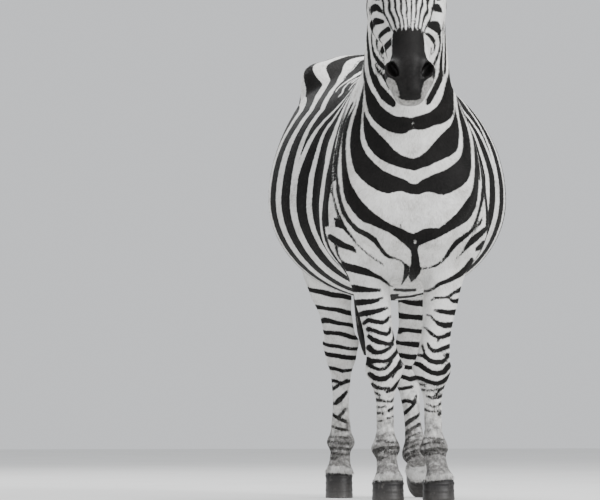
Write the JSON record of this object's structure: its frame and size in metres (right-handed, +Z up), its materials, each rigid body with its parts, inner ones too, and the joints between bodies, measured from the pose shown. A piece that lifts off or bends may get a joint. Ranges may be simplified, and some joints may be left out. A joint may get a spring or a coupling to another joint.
{
  "type": "zebra",
  "caption": "Life-size standing zebra mare, heavy in the barrel, head level with the face lowered, upright mane, hanging tail and one hind leg resting on its toe.",
  "frame": {"origin": "On the ground under the middle of the model's box.", "axes": "+X is the animal's left, -Y is the way it faces, +Z is up."},
  "size_m": [0.6948, 1.8401, 1.8008],
  "materials": {
    "coat": "short flat striped fur, satin",
    "hair": "coarse banded long hair, satin",
    "horn": "worn dusty hoof horn, matt",
    "eye": "wet gloss"
  },
  "bodies": {
    "root": {"trunk": "coat", "neck": "coat", "head": "coat", "eye_left": "eye", "eye_right": "eye", "ear_left": "coat", "ear_right": "coat", "mane": "hair", "leg_upper_fore_left": "coat", "leg_lower_fore_left": "coat", "hoof_fore_left": "horn", "leg_upper_fore_right": "coat", "leg_lower_fore_right": "coat", "hoof_fore_right": "horn", "leg_upper_hind_left": "coat", "leg_lower_hind_left": "coat", "hoof_hind_left": "horn", "leg_upper_hind_right": "coat", "leg_lower_hind_right": "coat", "hoof_hind_right": "horn", "tail_dock": "coat", "tail_tuft": "hair"}
  },
  "joints": []
}
